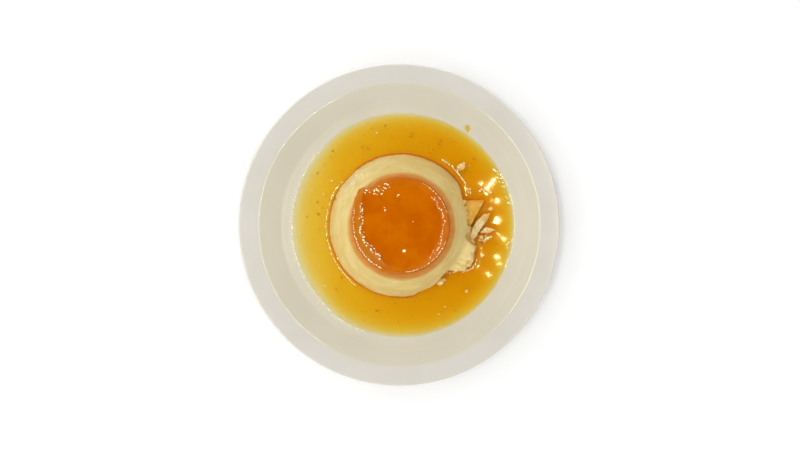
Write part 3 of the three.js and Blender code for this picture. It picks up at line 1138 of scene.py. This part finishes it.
def addGrains():
    crumbs = grains["clinging"] + inSauce(grains["crumbs"], grains["crumbRise"])
    strewnPiece("custardCrumbs", "torn_custard", crumbs, grains["crumbLook"], "custardCrumb", stained=1)
    specks = inSauce(strewInSauce(grains["specks"], grains["speckSpots"]), grains["speckRise"])
    strewnPiece("sauceSpecks", "stained_custard", specks, {}, "brownSpeck")
    bubbles = inSauce(strewInSauce(grains["bubbles"], []), grains["bubbleRise"])
    strewnPiece("sauceBubbles", "torn_custard", bubbles, {"Seed": 9}, "paleBubble")


addGrains()
print("crumbs, specks and bubbles strewn")

# bright beads set on the caramel where highlights show: painted highlights
highlightBeads = {
    # fine rows: angles, number, how far in from the caramel's edge or the lip's, stray, and sizes
    "rows": [
        (152, 238, 52, None, 1.0, (0.22, 0.72)),
        (-48, 42, 42, None, 0.75, (0.2, 0.6)),
        (108, 138, 26, None, 2.1, (0.25, 0.8)),
        (160, 196, 12, 0.8, 0.3, (0.2, 0.5)),
        (196, 244, 30, 0.9, 0.2, (0.22, 0.5)),
        (-84, -20, 40, 0.9, 0.15, (0.2, 0.42)),
        (16, 62, 26, 0.9, 0.15, (0.2, 0.42)),
    ],
    # x, y and size
    "spots": [
        (-0.35, 14.4, 0.7), (-0.9, 13.6, 0.4), (-6.8, 7.0, 0.6), (-7.2, 8.2, 0.4), (2.45, -12.7, 1.5),
        (6.7, 1.5, 0.4),
    ],
    "look": {"Longest": 1.9, "Lumpiness": 0.0001, "Lump Scale": 2500.0, "Seed": 12},
    "seed": 71,
}
# bright beads set where the sauce shows highlight dashes and glints: painted highlights
highlightFoam = {
    # rows at the pudding: angles, number, distance from it, stray, and sizes
    "rows": [
        (143, 232, 44, 1.7, 0.3, (0.4, 0.8)),
        (34, 58, 22, 3.4, 0.4, (0.4, 0.8)),
        (-46, -24, 20, 1.9, 0.7, (0.35, 0.75)),
    ],
    # dried on the dish at the edge of the sauce: angles, number, distances from that edge, and sizes
    "dried": [
        (138, 252, 210, (-0.15, 0.15), (0.22, 0.42)),
        (140, 250, 80, (0.3, 1.9), (0.14, 0.34)),
        (-15, 22, 76, (-0.12, 0.12), (0.26, 0.44)),
    ],
    # between and beyond the chunks: x, y and size
    "spots": [
        (36.6, 19.4, 0.8), (37.0, 17.6, 0.7), (38.0, 19.3, 0.7), (38.2, 17.5, 0.7), (43.2, 18.3, 1.0),
        (44.3, 19.2, 0.8), (45.4, 18.2, 0.9), (46.6, 19.1, 0.8), (47.9, 18.3, 0.9), (49.0, 17.5, 0.8),
        (50.6, 29.8, 0.7), (51.5, 29.2, 0.8), (52.6, 28.6, 0.7), (53.0, 27.3, 0.8), (54.4, 27.2, 0.7),
        (52.8, 25.4, 0.8), (54.8, 25.0, 0.7), (53.8, 23.2, 0.7), (55.6, 22.9, 0.7), (55.3, 20.8, 0.8),
        (56.3, 20.5, 0.6), (57.2, 15.2, 0.7), (57.8, 14.4, 0.6), (58.6, 12.0, 0.7), (59.5, 11.3, 0.6),
        (60.6, 11.6, 0.6), (57.8, -10.7, 0.7), (58.6, -9.5, 0.6), (58.1, -12.2, 0.6), (60.1, -8.8, 0.5),
        (43.4, -6.6, 0.7), (44.8, -8.2, 0.7), (46.4, -6.0, 0.7), (47.6, -7.4, 0.7), (49.2, -6.4, 0.7),
        (45.8, -9.0, 0.6), (44.3, -16.6, 0.9), (45.3, -16.2, 0.9),
    ],
    "rise": 0.25,  # how far their middles stand above the sauce
    "driedRise": 0.1,  # and above the dish
    "look": {"Longest": 2.6, "Lumpiness": 0.0001, "Lump Scale": 2500.0, "Seed": 13},
    "seed": 72,
}


def addHighlightBeads():
    # painted highlights: bright pinhead beads set in the caramel's lip, lying on the mesh that was poured
    chance = np.random.default_rng(highlightBeads["seed"])
    middleX, middleY = glazeTop["middle"]
    spots = list(highlightBeads["spots"])
    for degrees, inward, stray, sizes in alongRows(highlightBeads["rows"], chance, 1.2):
        base = inward or around(degrees, glazeTop["lip"]) + 0.2
        x, y = glazeSpot(degrees, base + chance.uniform(-1, 1) * stray)
        spots.append((x, y, chance.uniform(*sizes)))
    places = []
    for x, y, size in spots:
        found, place, _, _ = pouredGlaze.ray_cast(Vector((x, y, puddingHigh.z + 10)) * mm, Vector((0, 0, -1)))
        if found:
            along = math.atan2(y - middleY, x - middleX) + turn / 4
            places.append((x, y, place.z / mm, size, along + chance.uniform(-0.6, 0.6)))
    strewnPiece("caramelHighlightBeads", "torn_custard", places, highlightBeads["look"], "highlightFroth")


def addHighlightFoam():
    # painted highlights: bright beads drawn out in rows where the sauce meets the pudding, and dried on the
    # dish at its edge
    chance = np.random.default_rng(highlightFoam["seed"])
    places = [(x, y, sauceLevel(x) + highlightFoam["rise"], size) for x, y, size in highlightFoam["spots"]]
    for degrees, off, stray, sizes in alongRows(highlightFoam["rows"], chance, 0.8):
        radius = outlineRadius(degrees % 360, sauce["level"]) + off + chance.uniform(-1, 1) * stray
        angle = math.radians(degrees % 360)
        x, y = atAngle(pudding["base"], radius, angle)
        places.append((x, y, sauceLevel(x) + highlightFoam["rise"], chance.uniform(*sizes), angle + turn / 4))
    for start, end, count, offs, sizes in highlightFoam["dried"]:
        for angle in np.radians(chance.uniform(start, end, count)):
            radius = sauceRadius(angle) + chance.uniform(*offs)
            height = wellHeight(radius) + highlightFoam["driedRise"]
            places.append((*atAngle((0, 0), radius, angle), height, chance.uniform(*sizes), angle + turn / 4))
    strewnPiece("sauceHighlightFoam", "torn_custard", places, highlightFoam["look"], "highlightFroth")


addHighlightBeads()
addHighlightFoam()
print("froth set")

droplet = {
    "x": 36.6, "y": 51.6, "width": 2.7, "length": 4.2, "height": 0.9, "facing": 100,
    "taper": 0.25, "sunk": 0.12, "around": 48, "rows": 17,
}


def shoulderHeightAt(radius):
    band = dish["radius"] - dish["rimBand"]
    share = (radius - dish["wellRadius"]) / (band - dish["wellRadius"])
    return dish["shoulderHeight"] + share * (dish["rim"] - dish["rimDrop"] - dish["shoulderHeight"])


def addDroplet():
    # a drop of sauce that has landed on the shoulder
    dome = [(share, math.sqrt(1 - share ** 2)) for share in np.linspace(1, 0, droplet["rows"])]
    piece = turnedPiece("sauceDroplet", [(0, 0)] + dome, droplet["around"], syrup)
    along, across, rise = pointsOf(piece).T
    across = across * droplet["width"] / 2 * (1 + droplet["taper"] * along)
    along = along * droplet["length"] / 2
    facing = math.radians(droplet["facing"])
    x = droplet["x"] + along * math.cos(facing) - across * math.sin(facing)
    y = droplet["y"] + along * math.sin(facing) + across * math.cos(facing)
    z = shoulderHeightAt(np.hypot(x, y)) - droplet["sunk"] + droplet["height"] * rise
    movePoints(piece, np.stack([x, y, z], axis=1))
    finishPiece(piece, "sauce")


addDroplet()
print("droplet placed")

view = {
    "fromRim": 400.0,  # straight down on the dish
    "x": 0.42,
    "y": -1.85,
    "lens": 34.07,
    "sensor": 36.0,
}
eye = Vector((view["x"], view["y"], dish["rim"] + view["fromRim"]))
dishMiddle = Vector((0, 0, 0.02))  # in metres, as all lamps are
# lamps stand in banks: azimuths round the dish, the angle from straight up, and how much light each adds
lampBanks = {
    "left": {"azimuths": (116, 148, 180, 212, 244), "lean": 64, "share": 0.044, "size": 0.12},
    "right": {"azimuths": (-24, 24), "lean": 60, "share": 0.02, "size": 0.12},
    "back": {"azimuths": (48, 90, 132), "lean": 62, "share": 0.063, "size": 0.25},
    "front": {"azimuths": (228, 270, 312), "lean": 62, "share": 0.063, "size": 0.25},
    "leftCeiling": {"azimuths": (150, 180, 210), "lean": 18, "share": 0.075, "size": 0.25},
    "rightCeiling": {"azimuths": (-25, 25), "lean": 18, "share": 0.06, "size": 0.25},
}
lampDistance = 1.2
# small bright ceiling lamps, which only show as reflections: azimuths, lean, width and radiance
sparkleBanks = {
    "left": {
        "azimuths": (138, 147, 155, 163, 172, 181, 189, 197, 206, 214, 222, 231),
        "lean": 21, "size": 0.015, "radiance": 650.0, "colour": (1.0, 0.9, 0.5),
    },
    "right": {
        "azimuths": (-60, -51, -43, -34, -24, -13, -3, 8, 18, 29, 38, 47, 55),
        "lean": 24, "size": 0.012, "radiance": 1200.0, "colour": (1.0, 0.95, 0.8),
    },
}
# where more of them glint in the flat sauce, seen from above: x, y and the glint's width
glints = [
    (47.6, 20.0, 1.5), (49.2, 21.9, 1.7), (50.8, 24.0, 1.5), (44.3, 22.5, 1.0), (52.8, 12.9, 1.5),
    (52.8, 2.7, 2.2), (53.0, -5.3, 1.3), (56.2, -7.7, 1.3), (52.8, -17.1, 1.5), (54.0, -21.0, 0.9),
    (48.2, -26.7, 1.1), (44.5, -16.3, 0.9),
]
ceiling = {"height": 1240.0, "radiance": 260.0, "colour": (1.0, 0.86, 0.32)}


def addCamera():
    data = bpy.data.cameras.new("overhead")
    data.lens = view["lens"]
    data.sensor_width = view["sensor"]
    data.clip_start = 0.01
    camera = newObject("overhead", data)
    camera.location = eye * mm
    bpy.context.scene.camera = camera


def addLamp(name, place, size, power, target):
    data = bpy.data.lights.new(name, "AREA")
    data.shape = "DISK"
    data.size = size
    data.energy = power
    lamp = newObject(name, data)
    lamp.location = place
    lamp.rotation_euler = (target - place).to_track_quat("-Z", "Y").to_euler()
    return lamp


def addSparkleLamp(name, place, size, target, look):
    # it lights nothing, and only shows in what is glossy
    lamp = addLamp(name, place, size, look["radiance"] * (math.pi * size / 2) ** 2, target)
    lamp.data.color = look["colour"]
    lamp.visible_diffuse = False


def placesIn(bank):
    lean = math.radians(bank["lean"])
    for number, azimuth in enumerate(bank["azimuths"]):
        x, y = atAngle((0, 0), math.sin(lean), math.radians(azimuth))
        yield number, lampDistance * Vector((x, y, math.cos(lean)))


def addBanks():
    for name, bank in lampBanks.items():
        # a lamp's share is what it adds to a white sheet that faces it
        power = bank["share"] * (math.pi * lampDistance) ** 2
        for number, place in placesIn(bank):
            lamp = addLamp(f"{name}Lamp{number}", place, bank["size"], power, dishMiddle)
            lamp.visible_glossy = False
    for name, bank in sparkleBanks.items():
        for number, place in placesIn(bank):
            addSparkleLamp(f"{name}Sparkle{number}", place, bank["size"], dishMiddle, bank)


def addGlints():
    normal = Vector((-sauce["slope"], 0, 1)).normalized()
    for number, (x, y, width) in enumerate(glints):
        spot = Vector((x, y, sauceLevel(x)))
        sight = (spot - eye).normalized()
        bounce = sight - 2 * sight.dot(normal) * normal
        away = (ceiling["height"] - spot.z) / bounce.z
        size = width * (1 + away / (spot - eye).length) * mm
        addSparkleLamp(f"glintLamp{number}", (spot + bounce * away) * mm, size, spot * mm, ceiling)


studio = {
    "sky": 0.78,
    "lean": 0.34,  # how much more light comes from the left than from the right
    "leanTo": (-1.0, 0.0, 0.0),
    "darkAbove": (0.77, 0.94, 0.02),  # a dark ceiling: where it starts and ends, and what is left there
    "mirrored": 0.2,  # how much of the sky glossy surfaces show
    "floorHalf": 1500.0,
    "floor": {"Base Color": (0.97, 0.97, 0.965, 1), "Roughness": 0.8},
}


def addWorld():
    world = bpy.data.worlds.new("studio")
    world.use_nodes = True
    tree = world.node_tree
    way = addNode(tree, "ShaderNodeTexCoord").outputs["Generated"]
    up = addNode(tree, "ShaderNodeSeparateXYZ", {0: way}).outputs["Z"]
    start, end, left = studio["darkAbove"]
    overhead = ramp(tree, up, start, end, studio["sky"], left)
    lean = addNode(tree, "ShaderNodeVectorMath", {0: way, 1: studio["leanTo"]}, operation="DOT_PRODUCT")
    share = maths(tree, "MULTIPLY", lean.outputs["Value"], studio["lean"])
    strength = maths(tree, "MULTIPLY", maths(tree, "ADD", share, 1.0), overhead)
    path = addNode(tree, "ShaderNodeLightPath").outputs
    through = maths(tree, "SUBTRACT", 1.0, path["Is Transmission Ray"])
    mirrored = maths(tree, "MULTIPLY", path["Is Glossy Ray"], through)
    strength = maths(tree, "MULTIPLY", strength, ramp(tree, mirrored, 0, 1, 1.0, studio["mirrored"]))
    plug(tree, tree.nodes["Background"], {0: (1, 1, 1, 1), 1: strength})
    bpy.context.scene.world = world


def addFloor():
    half = studio["floorHalf"]
    material, tree, shader = newMaterial("paleFloor")
    plug(tree, shader, studio["floor"])
    corners = [(-half, -half, 0), (half, -half, 0), (half, half, 0), (-half, half, 0)]
    floor = newPiece("floor", corners, [(0, 1, 2, 3)], material=material)


addCamera()
addWorld()
addBanks()
addGlints()
addFloor()
scene = bpy.context.scene
scene.view_settings.view_transform = "Standard"
scene.cycles.use_denoising = True
scene.cycles.caustics_reflective = False
scene.cycles.caustics_refractive = False
scene.cycles.use_light_tree = False  # so that the small lamps aren't passed over
print("camera, lamps and floor placed")
